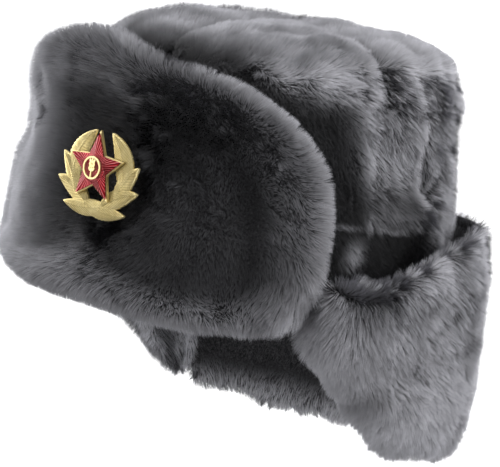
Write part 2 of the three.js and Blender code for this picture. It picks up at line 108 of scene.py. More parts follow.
def lattice_value(cells, seed):
    """A fixed random number from -1 to 1 for each whole-number cell."""
    mixed = cells[:, 0] * 73856093 ^ cells[:, 1] * 19349663 ^ cells[:, 2] * 83492791 ^ seed * 2654435761
    mixed = (mixed ^ (mixed >> 13)) * 1274126177 & 0xFFFFFFFF
    mixed = (mixed ^ (mixed >> 16)) & 0xFFFF
    return mixed / 32767.5 - 1


def noise(points, size, seed):
    """Smooth random values from -1 to 1 whose waves are about size long. Each seed gives its own pattern."""
    place = points / size
    cells = np.floor(place).astype(np.int64)
    share = smooth_between(0, 1, place - cells)
    total = np.zeros(len(points))
    for corner in range(8):
        step = np.array([corner & 1, corner >> 1 & 1, corner >> 2 & 1])
        weight = np.prod(np.where(step == 1, share, 1 - share), axis=1)
        total += weight * lattice_value(cells + step, seed)
    return total


def noise_vectors(points, size, seed):
    """Smooth random vectors, from three patterns that start at the seed."""
    return np.stack([noise(points, size, seed + part) for part in range(3)], axis=1)


def around(points):
    """Angle round the hat in degrees."""
    return np.degrees(np.arctan2(points[:, 0], -points[:, 1]))


def from_axis(points):
    """Distance from the hat's upright axis."""
    return np.hypot(points[:, 0], points[:, 1])


def level_out(points):
    """The level direction out from the hat's axis."""
    return unit(points * (1, 1, 0))


def round_direction(points):
    """The level direction in which the angle grows."""
    out = level_out(points)
    return np.stack([-out[:, 1], out[:, 0], np.zeros(len(points))], axis=1)


def round_place(angle, height, radius):
    """The place at an angle, a height and a distance from the hat's axis."""
    turn = math.radians(angle)
    return np.array([radius * math.sin(turn), -radius * math.cos(turn), height])


def hill(value, middle, half_width):
    """1 at the middle, falling smoothly to about a third at half_width from it."""
    return np.exp(-(((value - middle) / half_width) ** 2))


def spot(points, angle, half_angle, height, half_height):
    """1 at a place on the hat, falling smoothly round the hat and up and down."""
    return hill(around(points), angle, half_angle) * hill(points[:, 2], height, half_height)


def patches(points, table):
    """The sum of soft spots, given as rows of angle, half angle, height, half height and change."""
    return sum(change * spot(points, *place) for *place, change in table)


def add_object(name, data):
    """A new object in the scene."""
    item = bpy.data.objects.new(name, data)
    bpy.context.scene.collection.objects.link(item)
    return item


def shade_smooth(mesh):
    mesh.polygons.foreach_set("use_smooth", np.ones(len(mesh.polygons), bool))


class Body:
    """A soft copy of a CAD node: its mesh, points and normals in millimetres."""

    def __init__(self, node_name, voxel=VOXEL):
        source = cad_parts[node_name]
        copy = add_object(node_name + "_copy", source.data.copy())
        remesh = copy.modifiers.new("remesh", "REMESH")
        remesh.mode = "VOXEL"
        remesh.voxel_size = voxel * MM
        graph = bpy.context.evaluated_depsgraph_get()
        self.mesh = bpy.data.meshes.new_from_object(copy.evaluated_get(graph))
        bpy.data.objects.remove(copy)
        self.points = self.read(self.mesh.vertices, "co", 3, float) / MM
        self.edges = self.read(self.mesh.edges, "vertices", 2, np.int32)
        for _ in range(round(SMOOTHINGS * (VOXEL / voxel) ** 2)):
            for step in SMOOTHING_STEPS:
                self.smooth(step)
        self.refresh()

    @staticmethod
    def read(items, name, width, kind):
        """A mesh's values of one name, as rows of the given width."""
        values = np.zeros(len(items) * width, np.float32 if kind is float else kind)
        items.foreach_get(name, values)
        return values.reshape(-1, width).astype(kind)

    def smooth(self, amount):
        """Moves each point towards the middle of its neighbours, or away from it by a negative amount."""
        a, b = self.edges.T
        count = np.bincount(self.edges.ravel(), minlength=len(self.points))
        total = np.zeros_like(self.points)
        for axis in range(3):
            ahead = np.bincount(a, self.points[b, axis], len(count))
            total[:, axis] = ahead + np.bincount(b, self.points[a, axis], len(count))
        self.points += amount * (total / count[:, None] - self.points)

    def refresh(self):
        """Writes the points to the mesh and reads its new normals and triangles."""
        self.mesh.vertices.foreach_set("co", (self.points * MM).astype(np.float32).ravel())
        self.mesh.update()
        self.normals = self.read(self.mesh.vertex_normals, "vector", 3, float)
        self.mesh.calc_loop_triangles()
        self.triangles = self.read(self.mesh.loop_triangles, "vertices", 3, np.int32)

    def move(self, offsets):
        self.points += offsets
        self.refresh()

    def outward(self, amount):
        """Moves each point along its own normal."""
        self.move(self.normals * amount[:, None])

    def scatter(self, density_at, count):
        """Random root points and normals on the surface, more where density_at is high."""
        corners = self.points[self.triangles]
        first, second, third = corners.transpose(1, 0, 2)
        area = np.linalg.norm(np.cross(second - first, third - first), axis=1) / 2
        normal = unit(self.normals[self.triangles].mean(axis=1))
        weight = area * density_at(corners.mean(axis=1), normal)
        self.furred_area = area[weight > 0].sum()
        chosen = draws.choice(len(weight), count, p=weight / weight.sum())
        share = draws.random((count, 2))
        over = share.sum(axis=1) > 1
        share[over] = 1 - share[over]
        mix = np.stack([1 - share.sum(axis=1), share[:, 0], share[:, 1]], axis=1)
        roots = np.einsum("ij,ijk->ik", mix, corners[chosen])
        normals = unit(np.einsum("ij,ijk->ik", mix, self.normals[self.triangles[chosen]]))
        return roots, normals


def bundle_of(roots, bundles):
    """Picks that many hairs at random and tells for each root which of them is nearest."""
    leaders = draws.choice(len(roots), bundles, replace=False)
    tree = kdtree.KDTree(bundles)
    for number, leader in enumerate(leaders):
        tree.insert(roots[leader], number)
    tree.balance()
    return leaders, np.array([tree.find(root)[1] for root in roots])


def drawn_together(roots, reach, leader, pull):
    """Draws each tip towards the tip of its bundle's leader."""
    target = roots[leader] + reach[leader] + (roots - roots[leader]) * BUNDLE_TIP_WIDTH
    return reach + (target - roots - reach) * pull


def build_mesh(name, points, faces, attributes, normals, bake_place):
    """A mesh of millimetre points and triangles, with named numbers on its points and a bake map."""
    mesh = bpy.data.meshes.new(name)
    mesh.vertices.add(len(points))
    mesh.vertices.foreach_set("co", (points * MM).astype(np.float32).ravel())
    mesh.loops.add(faces.size)
    mesh.loops.foreach_set("vertex_index", faces.astype(np.int32).ravel())
    mesh.polygons.add(len(faces))
    mesh.polygons.foreach_set("loop_start", np.arange(0, faces.size, 3, dtype=np.int32))
    shade_smooth(mesh)
    for key, values in attributes.items():
        layer = mesh.attributes.new(key, "FLOAT", "POINT")
        layer.data.foreach_set("value", values.astype(np.float32))
    layer = mesh.attributes.new("custom_normal", "FLOAT_VECTOR", "POINT")
    layer.data.foreach_set("vector", normals.astype(np.float32).ravel())
    bake_map = mesh.uv_layers.new(name="OFBake")
    bake_map.uv.foreach_set("vector", bake_place[faces.ravel()].astype(np.float32).ravel())
    mesh.update()
    return mesh


def hair_bake_place(tone, along_hair):
    """Places on the bake map, a thin sliver for each hair: its tone runs across and its length up."""
    low, high = TONE_RANGE
    across = 0.01 + 0.98 * ((tone - low) / (high - low)).repeat(3)
    sliver = np.tile([-0.002, 0.002, 0.0], len(tone))
    return np.stack([across + sliver, along_hair], axis=1)


def strands(name, roots, normals, reach, width, tone):
    """Straight tapering hairs of one triangle each, whose flat side looks out from the hat."""
    count = len(roots)
    along = unit(reach)
    outlook = normals + level_out(roots) * HAIR_ROUNDING["outlook"]
    turn = draws.normal(0, HAIR_SPREAD["twist"], count)[:, None]
    across = unit(np.cross(outlook, along) + 1e-6)
    side = unit(across * np.cos(turn) + np.cross(along, across) * np.sin(turn))
    half = (width / 2)[:, None]
    start = roots - normals * ROOT_SINK
    points = np.stack([start - side * half, start + side * half, roots + reach], axis=1).reshape(-1, 3)
    faces = np.arange(count * 3).reshape(-1, 3)
    flip = dot(np.cross(side, along), outlook) < 0
    faces[flip] = faces[flip][:, ::-1]
    stand = unit(normals - along * (dot(normals, along) * HAIR_ROUNDING["stand"])[:, None])
    round_out = side * HAIR_ROUNDING["sides"]
    shade_normals = np.stack([stand - round_out, stand + round_out, stand], axis=1).reshape(-1, 3)
    along_hair = np.tile([0.0, 0.0, 1.0], count)
    attributes = {"along": along_hair, "tone": tone.repeat(3)}
    return build_mesh(name, points, faces, attributes, unit(shade_normals), hair_bake_place(tone, along_hair))


# Materials


def node_material(name):
    material = bpy.data.materials.new(name)
    material.use_nodes = True
    nodes = material.node_tree.nodes
    links = material.node_tree.links
    return material, nodes, links, nodes["Principled BSDF"]


def point_number(nodes, name):
    """The output that reads a named number from the mesh's points."""
    node = nodes.new("ShaderNodeAttribute")
    node.attribute_name = name
    return node.outputs["Fac"]


def cloud(nodes, links, place, scale, detail):
    """The output of a soft random pattern."""
    texture = nodes.new("ShaderNodeTexNoise")
    texture.inputs["Scale"].default_value = scale
    texture.inputs["Detail"].default_value = detail
    links.new(place.outputs["Object"], texture.inputs["Vector"])
    return texture.outputs["Fac"]


def colour_ramp(nodes, links, number, stops):
    """The colours that a number picks from rows of position and colour, in rising order."""
    ramp = nodes.new("ShaderNodeValToRGB")
    elements = ramp.color_ramp.elements
    elements[0].position, elements[0].color = stops[0]
    elements[1].position, elements[1].color = stops[-1]
    for position, colour in stops[1:-1]:
        elements.new(position).color = colour
    links.new(number, ramp.inputs["Fac"])
    return ramp.outputs["Color"]


def relief(nodes, links, shader, height, strength, distance):
    """Fine relief on a shader, with its full height in metres."""
    bump = nodes.new("ShaderNodeBump")
    bump.inputs["Strength"].default_value = strength
    bump.inputs["Distance"].default_value = distance
    links.new(height, bump.inputs["Height"])
    links.new(bump.outputs["Normal"], shader.inputs["Normal"])


def math_step(nodes, links, operation, first):
    """A node that works on one number, with its second one still free."""
    node = nodes.new("ShaderNodeMath")
    node.operation = operation
    links.new(first, node.inputs[0])
    return node


def fur_material():
    """Grey from dark roots to light tips, times each hair's tone, which holds its random tone and the painted
    light and shade.
    """
    material, nodes, links, shader = node_material("grey_fur")
    stops = [(0.0, (0.16, 0.158, 0.168, 1)), (0.5, (0.36, 0.36, 0.385, 1)), (1.0, (0.54, 0.54, 0.585, 1))]
    colour = colour_ramp(nodes, links, point_number(nodes, "along"), stops)
    scale = nodes.new("ShaderNodeVectorMath")
    scale.operation = "SCALE"
    links.new(colour, scale.inputs[0])
    links.new(point_number(nodes, "tone"), scale.inputs["Scale"])
    links.new(scale.outputs["Vector"], shader.inputs["Base Color"])
    shader.inputs["Roughness"].default_value = 0.7
    shader.inputs["Specular IOR Level"].default_value = 0.1
    return material


def skin_material():
    """The dark, speckled depth of the fur between the hairs, painted near black as the shade deep in the
    pile.
    """
    material, nodes, links, shader = node_material("fur_depth")
    speckle = cloud(nodes, links, nodes.new("ShaderNodeTexCoord"), scale=900, detail=3)
    stops = [(0.35, (0.025, 0.025, 0.027, 1)), (0.7, (0.07, 0.069, 0.074, 1))]
    links.new(colour_ramp(nodes, links, speckle, stops), shader.inputs["Base Color"])
    relief(nodes, links, shader, speckle, strength=0.6, distance=0.001)
    shader.inputs["Roughness"].default_value = 0.9
    shader.inputs["Specular IOR Level"].default_value = 0.1
    return material


def metal_material():
    """Pale gold with a fine grain and faint clouds, darker in the grooves between the veins."""
    material, nodes, links, shader = node_material("pale_gold")
    place = nodes.new("ShaderNodeTexCoord")
    stops = [(0.3, (0.76, 0.63, 0.29, 1)), (0.7, (0.9, 0.78, 0.42, 1))]
    clouds = colour_ramp(nodes, links, cloud(nodes, links, place, scale=260, detail=4), stops)
    shade = nodes.new("ShaderNodeMix")
    shade.data_type = "RGBA"
    links.new(point_number(nodes, "groove"), shade.inputs["Factor"])
    links.new(clouds, shade.inputs["A"])
    shade.inputs["B"].default_value = (0.28, 0.19, 0.05, 1)
    links.new(shade.outputs["Result"], shader.inputs["Base Color"])
    grain = cloud(nodes, links, place, scale=2600, detail=2)
    relief(nodes, links, shader, grain, strength=0.35, distance=0.0002)
    shader.inputs["Metallic"].default_value = 1
    shader.inputs["Roughness"].default_value = 0.48
    return material


def ray_wave(nodes, links):
    """A wave from -1 to 1 round the star's middle, with one crest for each ray."""
    place = nodes.new("ShaderNodeTexCoord")
    from_middle = nodes.new("ShaderNodeVectorMath")
    from_middle.operation = "SUBTRACT"
    from_middle.inputs[1].default_value = round_place(BADGE_ANGLE, BADGE_HEIGHT + STAR_RAISE, BADGE_SEAT) * MM
    links.new(place.outputs["Object"], from_middle.inputs[0])
    split = nodes.new("ShaderNodeSeparateXYZ")
    links.new(from_middle.outputs["Vector"], split.inputs["Vector"])
    bearing = math_step(nodes, links, "ARCTAN2", split.outputs["Z"])
    links.new(split.outputs["X"], bearing.inputs[1])
    many = math_step(nodes, links, "MULTIPLY", bearing.outputs["Value"])
    many.inputs[1].default_value = RAYS
    return math_step(nodes, links, "SINE", many.outputs["Value"]).outputs["Value"]


def enamel_material():
    """Clear red enamel with fine lighter rays that run out from the star's middle, their crests painted with
    a pale pink glint.
    """
    material, nodes, links, shader = node_material("red_enamel")
    wave = ray_wave(nodes, links)
    # The palest stop is a painted glint on the crests of the rays
    stops = [(0.4, (0.2, 0.001, 0.006, 1)), (0.8, (0.36, 0.006, 0.015, 1)), (1.0, (0.75, 0.3, 0.3, 1))]
    links.new(colour_ramp(nodes, links, wave, stops), shader.inputs["Base Color"])
    relief(nodes, links, shader, wave, strength=0.8, distance=0.0003)
    shader.inputs["Metallic"].default_value = 0.9
    shader.inputs["Roughness"].default_value = 0.36
    return material


FUR = fur_material()
SKIN = skin_material()
GOLD = metal_material()
ENAMEL = enamel_material()


# Fur on every piece


def crown_outward(points):
    """Out from an upright line inside the crown, which ends at the core's height."""
    core = np.zeros_like(points)
    core[:, 2] = np.minimum(points[:, 2], CROWN_CORE_HEIGHT)
    return unit(points - core)


def hair_reach(normals, comb, lean, length):
    """From root to tip: leans from the normal towards the combed direction by an angle in degrees."""
    flat = unit(comb - normals * dot(comb, normals)[:, None])
    tilt = np.radians(lean)[:, None]
    return (normals * np.cos(tilt) + flat * np.sin(tilt)) * length[:, None]


def grow(body, name, roots, normals, comb, lean, length, tone, ruffle):
    """Hairs on the roots. A ruffle of 0 keeps them even and 1 parts them fully into bundles."""
    count = len(roots)
    ruffle = np.broadcast_to(ruffle, count)
    lean = lean + draws.normal(0, HAIR_SPREAD["lean"], count)
    length = length * (1 + draws.normal(0, HAIR_SPREAD["length"], count))
    width = draws.uniform(*HAIR_WIDTHS, count)
    tone = tone * (1 + draws.normal(0, HAIR_SPREAD["tone"], count))
    leaders = []
    for bundle in BUNDLES:
        bundles = int(body.furred_area / bundle["spacing"] ** 2)
        chosen, member = bundle_of(roots, bundles)
        comb = comb + draws.normal(0, bundle["turn"], (bundles, 3))[member] * ruffle[:, None]
        lean = lean + draws.normal(0, bundle["lean"], bundles)[member] * ruffle
        tone = tone * (1 + draws.normal(0, bundle["tone"], bundles)[member] * ruffle)
        leaders.append(chosen[member])
    reach = hair_reach(normals, comb, lean, length)
    for bundle, leader in zip(BUNDLES, leaders):
        reach = drawn_together(roots, reach, leader, (bundle["pull"] * ruffle)[:, None])
    return strands(name + "_fur", roots, normals, reach, width, np.clip(tone, *TONE_RANGE))


def dress(body, name, hairs):
    """Puts a node's soft skin and the hairs on it in the place of its CAD mesh."""
    hairs.materials.append(FUR)
    body.mesh.materials.clear()
    body.mesh.materials.append(SKIN)
    shade_smooth(body.mesh)
    skin = add_object(name + "_skin", body.mesh)
    fur = add_object(name + "_fur", hairs)
    for piece in (skin, fur):
        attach(piece, "root")
    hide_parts(name)
    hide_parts(name)


# Crown

CROWN_HAIR = {"sink": 3.9, "lean": 37, "length": 6.4, "tone": 0.8, "ruffle": 0.85}
# Upward share of the normal, from the crown's wall to its top
TOP_NORMALS = (0.45, 0.85)
# Folds in the crown's wall: angle at the top and at the bottom, half width in degrees,
# highest and lowest height, depth
CROWN_FOLDS = [
    (96, 109, 1.8, 118, 46, 9),
    (109, 114, 2.0, 112, 74, 7),
    (117, 108, 2.0, 72, 40, 7),
    (101, 112, 2.0, 70, 36, 5),
    (124, 130, 2.6, 112, 56, 5),
    (141, 136, 3.5, 100, 50, 4),
    (-101, -108, 2.6, 116, 52, 6),
    (-116, -112, 2.6, 104, 60, 5),
    (-130, -137, 3.4, 108, 48, 4),
]
FOLD_WAVER = 1.4
FOLD_FADE = 14
FULL_CREASE = 5
# Seams over the crown: the angle of the one from ear to ear, and the width, heights and depth of both
SIDE_SEAM_ANGLE = 76
SEAM_HALF_WIDTH = 4
SEAM_HEIGHTS = (90, 112)
SEAM_DEPTH = 1.2
# The middle of the top, drawn in to the axis
CENTRE_PULL = 5
CENTRE_HALF_WIDTH = 15
# The front flap's rim beside the crown: its angle at a height, and degrees forward for each mm up
RIM_LINE = {"angle": 76, "height": 49, "slope": 0.14}
# Upper edge of the painted shade behind the front flap: its height in front, and its drop between two angles
FLAP_LEDGE = {"height": 114, "drop": 15, "angles": (22, 48)}
# Painted shade in the gap under the crown's lower edge: height, waver, softness, and the angles between which
# it ends
HEM = {"height": 35, "waver": 1.5, "softness": 1.5, "angles": (118, 104)}
# Painted shade on the lower part of the crown's side: the heights and the angles between which it ends
LOW_WALL = {"heights": (68, 48), "angles": (112, 98)}
# Painted shade: share of the tone that each kind of place takes off, in creases, seams, on the lower wall,
# behind the front flap, close behind its rim and in the gap under the hem
CROWN_SHADES = {
    "crease": 0.5,
    "seam": 0.2,
    "low_wall": 0.74,
    "behind_flap": 0.76,
    "near_rim": 0.8,
    "hem_gap": 0.94,
}
# Soft spots of painted light and shade on the crown, lit fold crests, pads and tufts and shaded bulges and
# folds: angle, half angle, height, half height, change
CROWN_PAINTED_LIGHT = [
    (87, 9, 86, 20, 0.1),
    (102, 3, 98, 12, -0.2),
    (106, 3, 84, 6, 0.2),
    (112, 9, 80, 40, 0.14),
    (107, 5, 46, 8, 0.2),
    (117, 6, 42, 9, -0.2),
    (71.5, 3.5, 22, 7, 0.6),
    (67, 6, 36, 1.3, 0.4),
    (89, 6, 35, 1.0, 0.3),
    (77, 1.6, 38, 5, 0.4),
    (82, 1.2, 37, 4, 0.3),
]


def fold_depth(points):
    """How deep the crown's folds press in at each point."""
    angle = around(points)
    height = points[:, 2]
    total = np.zeros(len(points))
    for row, (top_angle, low_angle, half, high, low, depth) in enumerate(CROWN_FOLDS):
        share = np.clip((high - height) / (high - low), 0, 1)
        waver = FOLD_WAVER * noise(points * (0, 0, 1), 13, 101 + row)
        middle = top_angle + (low_angle - top_angle) * share + waver
        ends = smooth_between(low, low + FOLD_FADE, height) * smooth_between(high, high - FOLD_FADE, height)
        total += depth * hill(angle, middle, half) * ends
    return total


def seam_nearness(points):
    """1 on the crown's seams, fading out over a few millimetres."""
    from_side = np.radians(np.abs(np.abs(around(points)) - SIDE_SEAM_ANGLE)) * from_axis(points)
    on_middle = hill(np.abs(points[:, 0]), 0, SEAM_HALF_WIDTH)
    on_side = hill(from_side, 0, SEAM_HALF_WIDTH)
    return np.maximum(on_middle, on_side) * smooth_between(*SEAM_HEIGHTS, points[:, 2])


def shape_crown(body):
    """Sinks the skin to the hairs' roots, with the folds, the seams and a soft swell."""
    outward = crown_outward(body.points)
    facing = np.clip(dot(body.normals, outward), 0, 1)
    top = smooth_between(*TOP_NORMALS, body.normals[:, 2])
    swell = noise(body.points, 30, 3) * 2.4 + noise(body.points * (1, 0.6, 1), 12, 5) * (1.4 + 2.2 * top)
    press = CROWN_HAIR["sink"] - swell + fold_depth(body.points) + SEAM_DEPTH * seam_nearness(body.points)
    to_centre = CENTRE_PULL * hill(from_axis(body.points), 0, CENTRE_HALF_WIDTH)
    body.move(-outward * (facing * press)[:, None] - level_out(body.points) * to_centre[:, None])


def crown_density(middle, normal):
    """Hairs grow on the outer side alone, fewer near the lower edge and behind the front flap."""
    out = np.clip(dot(normal, crown_outward(middle)), 0, 1)
    low = smooth_between(0, 30, middle[:, 2])
    bare = 0.6 * smooth_between(-40, -80, middle[:, 1]) * (middle[:, 2] < 100)
    return (out > 0.25) * (0.25 + 0.75 * low) * (1 - bare)


def crown_places(roots, normals):
    """How much each root lies in each kind of place, from 0 to 1."""
    angle = np.abs(around(roots))
    height = roots[:, 2]
    top = smooth_between(*TOP_NORMALS, normals[:, 2])
    from_rim = angle + RIM_LINE["slope"] * (height - RIM_LINE["height"]) - RIM_LINE["angle"]
    ledge = FLAP_LEDGE["height"] - FLAP_LEDGE["drop"] * smooth_between(*FLAP_LEDGE["angles"], angle)
    hem = HEM["height"] + HEM["waver"] * noise(roots * (1, 1, 0), 9, 43)
    under_hem = smooth_between(hem + HEM["softness"], hem - HEM["softness"], height)
    return {
        "top": top,
        "shoulder": hill(top, 0.5, 0.4),
        "centre": hill(from_axis(roots), 0, 12),
        # Creases, seams, the lower wall, the crown behind the front flap and beside its rim, and the gap
        # under the hem take painted shade
        "crease": np.clip(fold_depth(roots) / FULL_CREASE, 0, 1),
        "seam": seam_nearness(roots),
        "low_wall": smooth_between(*LOW_WALL["heights"], height) * smooth_between(*LOW_WALL["angles"], angle),
        "behind_flap": smooth_between(3, -7, from_rim) * smooth_between(ledge + 2, ledge - 9, height),
        "near_rim": smooth_between(0, -13, from_rim) * smooth_between(ledge - 4, ledge - 14, height),
        "hem_gap": under_hem * smooth_between(*HEM["angles"], angle),
    }


def crown_comb(roots, place):
    """Back over the top and down the wall, and out to the sides over the front shoulder."""
    angle = around(roots)
    to_side = 0.8 * np.sign(angle) * place["shoulder"] * smooth_between(70, 40, np.abs(angle))
    comb = BACK * place["top"][:, None] - UP * (1 - place["top"])[:, None]
    comb = comb + round_direction(roots) * to_side[:, None]
    return comb + noise_vectors(roots, 30, 11) * 0.35 + noise_vectors(roots * (1, 1, 0.5), 5, 17) * 0.3


def crown_tone(roots, place):
    """Lighter on the wall than on the rippled top, whose tone is painted darker to temper the light from
    above, with painted shade place by place and spots of painted light and shade.
    """
    mottle = 0.12 * noise(roots, 17, 31) + (0.08 + 0.2 * place["low_wall"]) * noise(roots, 7, 37)
    ripple = 0.16 * noise(roots * (1, 0.6, 1), 9, 39) * place["top"]
    tone = CROWN_HAIR["tone"] - 0.34 * place["top"] + mottle + ripple
    for kind, share in CROWN_SHADES.items():
        tone = tone * (1 - share * place[kind])
    return tone + patches(roots, CROWN_PAINTED_LIGHT)


def crown_fur(name, count, voxel=VOXEL):
    body = Body(name, voxel)
    shape_crown(body)
    roots, normals = body.scatter(crown_density, count)
    place = crown_places(roots, normals)
    lean = CROWN_HAIR["lean"] + 10 * place["shoulder"] + 3 * noise(roots, 20, 23) + 5 * noise(roots, 6, 19)
    length = CROWN_HAIR["length"] + 0.8 * noise(roots, 14, 29)
    length = length - 1.5 * np.maximum(place["behind_flap"], place["hem_gap"])
    length = length - 1.5 * place["crease"] + 2 * place["centre"]
    comb = crown_comb(roots, place)
    tone = crown_tone(roots, place)
    dress(body, name, grow(body, name, roots, normals, comb, lean, length, tone, CROWN_HAIR["ruffle"]))


# Front flap

# Its low tone paints the flap's face dark, as painted shade
FLAP_HAIR = {"sink": 5, "lean": 28, "length": 5.6, "tone": 0.16}
# Outline of the flap: half angle, middle height, drop, distance from the axis, the angles where its top
# changes sides, and each side's rise and squareness
FLAP = {
    "half_angle": 59,
    "middle": 26,
    "drop": 52,
    "radius": 120,
    "peak_from": -1,
    "peak_to": 13,
    "left": {"rise": 80, "top_squareness": 2.6, "lower_squareness": 4.4},
    "right": {"rise": 88, "top_squareness": 2, "lower_squareness": 2.7},
}
# The rolled rim: how far inside the border its crest lies, its half width and its rise
FLAP_ROLL = {"inside": 17, "half_width": 12, "rise": 2.4}
# The middle of the face, sunk between two distances from the border and between two angles
FLAP_HOLLOW = {"inside": (22, 48), "angles": (-45, -20), "depth": 3}
# The far side's upper part, drawn in between two angles and between two heights
FLAP_NARROWING = {"angles": (-28, -46), "heights": (30, 52), "depth": 5}
# Ridge, dent and tucked corner on the flap's face: angle, half angle, height, half height, rise
FLAP_FORMS = [
    (-33, 4, 76, 18, 1.5),
    (-45, 3.5, 87, 10, -2.5),
    (57, 8, -12, 16, -6),
]
# Ruffled lower corner at the wearer's left: angle, half angle, height, half height
FLAP_CORNER = (54, 9, -8, 17)
# Height from which the hairs are combed apart, and the distance over which they turn upright
COMB_CENTRE = 44
COMB_SPAN = 60
# Bare spot under the badge: its middle across and up, half width and half height
BADGE_SPOT = (5, 43, 18, 15)
# Soft spots of painted light and shade on the front flap's face, lit ridges and shaded dents, and light over
# the badge's cast shadow, in the same columns as the crown's spots
FLAP_PAINTED_LIGHT = [
    (28, 8, 40, 18, 0.04),
    (44, 5, 38, 28, -0.08),
    (-46, 4, 88, 9, -0.35),
    (-34, 4, 70, 16, 0.1),
    (47, 5, 8, 22, -0.3),
    (2, 5, 13, 6, 0.15),
]
# Tufts that stand out of the flap's rim: angle, height, size
RIM_TUFTS = [
    (55, 10, 6),
    (50, -2, 7),
    (54, -14, 8),
]
TUFT = {"swirl": 0.2, "length": 3, "tone": 0.25}


def flap_share(points):
    """Where a point lies on the front flap: its angle, its height and its distance from the border."""
    angle = around(points)
    rise = points[:, 2] - FLAP["middle"]
    left = FLAP["left"]
    right = FLAP["right"]
    left_share = smooth_between(FLAP["peak_from"], FLAP["peak_to"], angle)
    top = right["rise"] + (left["rise"] - right["rise"]) * left_share
    top_squareness = right["top_squareness"] + (left["top_squareness"] - right["top_squareness"]) * left_share
    lower_squareness = np.where(angle > 0, left["lower_squareness"], right["lower_squareness"])
    across = np.abs(angle) / FLAP["half_angle"]
    up = np.abs(rise) / np.where(rise > 0, top, FLAP["drop"])
    power = np.where(rise > 0, top_squareness, lower_squareness)
    ring = np.maximum((across**power + up**power) ** (1 / power), 0.02)
    width = np.radians(angle / ring) * FLAP["radius"]
    return angle, points[:, 2], (1 - ring) * np.hypot(width, rise / ring)


def shape_flap(body):
    """Sinks the skin to the hairs' roots, with the rolled rim, the sunk face and a soft swell."""
    angle, height, inside = flap_share(body.points)
    front = smooth_between(0, 0.5, dot(body.normals, level_out(body.points)))
    roll = FLAP_ROLL["rise"] * hill(inside, FLAP_ROLL["inside"], FLAP_ROLL["half_width"])
    hollow = smooth_between(*FLAP_HOLLOW["inside"], inside) * smooth_between(*FLAP_HOLLOW["angles"], angle)
    narrow = smooth_between(*FLAP_NARROWING["angles"], angle)
    narrow = narrow * smooth_between(*FLAP_NARROWING["heights"], height)
    swell = noise(body.points, 30, 41) + 0.5 * noise(body.points, 12, 45) * smooth_between(30, 12, inside)
    border = smooth_between(10, 0, inside)
    face = front * (roll - FLAP_HOLLOW["depth"] * hollow + patches(body.points, FLAP_FORMS))
    body.outward(face - FLAP_HAIR["sink"] - 1.2 * border - FLAP_NARROWING["depth"] * narrow + swell)


def flap_density(middle, normal):
    """Hairs grow in front and round the border, fewer on the back and almost none under the badge."""
    inside = flap_share(middle)[2]
    across, up, half_width, half_height = BADGE_SPOT
    off_middle = ((middle[:, 0] - across) / half_width) ** 4 + ((middle[:, 2] - up) / half_height) ** 4
    back = 0.05 + 0.6 * smooth_between(45, 15, inside)
    return np.where(dot(normal, level_out(middle)) > 0, 1, back) * (1 - np.exp(-off_middle))


def flap_places(roots):
    """How much each root lies in each kind of place, from 0 to 1."""
    angle, height, inside = flap_share(roots)
    rim = smooth_between(40, 22, inside)
    corner = spot(roots, *FLAP_CORNER)
    narrowed = 3 * smooth_between(60, 20, height)
    far_side = smooth_between(-8 - narrowed, -36 - narrowed, angle)
    return {
        # The rim, the far side, the corner and the lowest part get painted light, and the border painted
        # shade
        "rim": rim,
        "border": smooth_between(13, 1, inside),
        "corner": corner,
        "far": smooth_between(-8, -36, angle),
        "far_side": far_side,
        "ruffled": np.maximum(corner, 0.6 * rim * smooth_between(-10, 20, angle)),
        "low": smooth_between(10, -12, height) * (1 - corner),
        "lit": np.maximum.reduce([rim * 0.76, smooth_between(1, -22, height), far_side, corner]),
    }


def flap_comb(roots, place):
    """Apart from the badge towards the rim, down on the far side and at the ruffled corner."""
    far = place["far"]
    sideways = around(roots) / FLAP["half_angle"] * (1 - 0.5 * far) - 0.6 * hill(far, 0.5, 0.35)
    upright = (roots[:, 2] - COMB_CENTRE) / COMB_SPAN * (1 - far) - 0.6 * far
    apart = round_direction(roots) * sideways[:, None] + UP * upright[:, None]
    comb = apart * (0.5 + 0.5 * place["rim"])[:, None] + noise_vectors(roots, 34, 43) * 0.25
    comb = comb + noise_vectors(roots, 6, 47) * (0.1 + 0.3 * place["ruffled"])[:, None]
    return comb - (round_direction(roots) * 2.6 + UP * 1.8) * place["corner"][:, None]


def flap_lean(roots, place):
    """Flatter hairs on the low part and at the corner, which would be seen end on."""
    turn = (8 * place["rim"] - 8 * place["far"]) * (1 - place["low"])
    lean = FLAP_HAIR["lean"] + turn + 16 * place["low"] + 22 * place["corner"]
    return lean + 4 * noise(roots, 22, 53) + 7 * noise(roots, 8, 57) * place["ruffled"]


def flap_tone(roots, place):
    """A face painted dark as shade inside a rim painted light, with painted light on the far side, the low
    part and the corner, painted shade along the border, random mottling and spots of painted light and shade.
    """
    lit = place["lit"]
    mottle = (0.03 + 0.06 * lit) * noise(roots, 18, 61)
    mottle = mottle + (0.02 + 0.03 * lit + 0.1 * place["corner"]) * noise(roots, 6, 63)
    tone = FLAP_HAIR["tone"] + 0.6 * lit + 0.22 * place["far_side"] + mottle + patches(roots, FLAP_PAINTED_LIGHT)
    return tone * (1 - 0.62 * place["border"] * (1 - place["corner"]))


def with_tufts(roots, normals, comb, length, tone):
    """Swirls, lengthens and lightens the hairs round each tuft's middle."""
    for angle, height, size in RIM_TUFTS:
        from_tuft = roots - round_place(angle, height, FLAP["radius"])
        near = hill(np.linalg.norm(from_tuft, axis=1), 0, size)
        comb = comb + np.cross(from_tuft, normals) * near[:, None] * TUFT["swirl"]
        length = length + TUFT["length"] * near
        tone = tone + TUFT["tone"] * near
    return comb, length, tone


